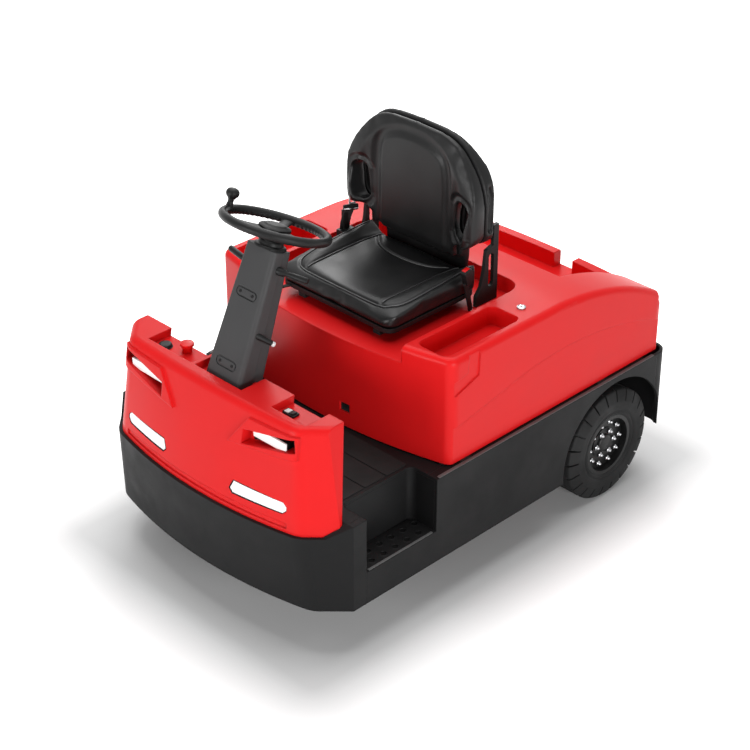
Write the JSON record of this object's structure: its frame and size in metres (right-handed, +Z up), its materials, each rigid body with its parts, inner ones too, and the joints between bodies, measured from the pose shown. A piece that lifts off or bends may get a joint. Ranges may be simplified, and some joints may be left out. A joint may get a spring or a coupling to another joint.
{
  "type": "electric tow tractor",
  "caption": "Seated electric tow tractor: red lifting hood with a bucket seat, leaning front console, black step-through chassis, steered front wheel, driven rear axle, rear tow coupling.",
  "frame": {"origin": "on the floor, under the middle of the whole tractor's box", "axes": "+X forward, +Y to the driver's left, +Z up"},
  "size_m": [1.6599, 1.016, 1.278],
  "materials": {
    "red_paint": "high gloss",
    "chassis_black": "satin",
    "frame_black": "semi-matt",
    "cast_grey": "painted casting",
    "motor_grey": "semi-matt",
    "battery_case": "moulded",
    "axle_steel": "turned",
    "column_plastic": "textured moulding",
    "wheel_rubber": "soft grip",
    "control_plastic": "moulded",
    "buffer_rubber": "matt",
    "tyre_rubber": "matt",
    "rim_black": "satin",
    "seat_vinyl": "grained vinyl",
    "lamp_clear": "clear lens",
    "lamp_red": "red lens",
    "lock_chrome": "polished"
  },
  "bodies": {
    "chassis": {"console": "red_paint", "front_bumper": "chassis_black", "rear_panel": "chassis_black", "side_skirt_left": "chassis_black", "side_skirt_right": "chassis_black", "step_left": "chassis_black", "step_right": "chassis_black", "floor_plate": "chassis_black", "chassis_rails": "frame_black", "front_bridge": "frame_black", "rear_cross_member": "frame_black", "battery_tray": "frame_black", "hood_hinges": "frame_black", "rear_axle": "cast_grey", "tow_coupler": "cast_grey", "drive_motor": "motor_grey", "battery": "battery_case", "steering_column": "column_plastic", "column_levers": "column_plastic", "dash_controls": "control_plastic", "pedals": "control_plastic", "hood_buffers": "buffer_rubber", "headlamp_left": "lamp_clear", "headlamp_right": "lamp_clear", "marker_lamp_left": "lamp_clear", "marker_lamp_right": "lamp_clear"},
    "steering_wheel": {"steering_wheel": "wheel_rubber", "spinner_knob": "wheel_rubber"},
    "steer_fork": {"steering_fork": "frame_black", "front_pin": "axle_steel"},
    "front_wheel": {"front_tyre": "tyre_rubber", "front_rim": "rim_black"},
    "rear_left_wheel": {"rear_tyre_left": "tyre_rubber", "rear_rim_left": "rim_black"},
    "rear_right_wheel": {"rear_tyre_right": "tyre_rubber", "rear_rim_right": "rim_black"},
    "hood": {"hood": "red_paint", "seat_rails": "frame_black", "seat_pan": "control_plastic", "seat_cushion": "seat_vinyl", "seat_shell": "control_plastic", "seat_back": "seat_vinyl", "seat_brackets": "frame_black", "belt_buckle": "control_plastic", "belt_reel": "control_plastic", "hood_lock": "lock_chrome", "tail_lamps": "lamp_red"}
  },
  "joints": [
    {"name": "rear_left_spin", "type": "hinge", "parent": "chassis", "child": "rear_left_wheel", "pos_m": [-0.482, 0.442, 0.19], "axis": [0, 1, 0], "continuous": true},
    {"name": "rear_right_spin", "type": "hinge", "parent": "chassis", "child": "rear_right_wheel", "pos_m": [-0.482, -0.442, 0.19], "axis": [0, 1, 0], "continuous": true},
    {"name": "front_steer", "type": "hinge", "parent": "chassis", "child": "steer_fork", "pos_m": [0.578, 0, 0.4], "axis": [0, 0, 1], "range_deg": [-80, 80]},
    {"name": "front_spin", "type": "hinge", "parent": "steer_fork", "child": "front_wheel", "pos_m": [0.578, 0, 0.19], "axis": [0, 1, 0], "continuous": true},
    {"name": "steering_wheel_turn", "type": "hinge", "parent": "chassis", "child": "steering_wheel", "pos_m": [0.474, 0, 1.13], "axis": [-0.3746, 0, 0.9272], "range_deg": [-450, 450]},
    {"name": "hood_lift", "type": "hinge", "parent": "chassis", "child": "hood", "pos_m": [-0.692, 0, 0.468], "axis": [0, -1, 0], "range_deg": [0, 60]}
  ],
  "couplings": [
    {"joint": "steering_wheel_turn", "follows": "front_steer", "ratio": 5.6}
  ]
}
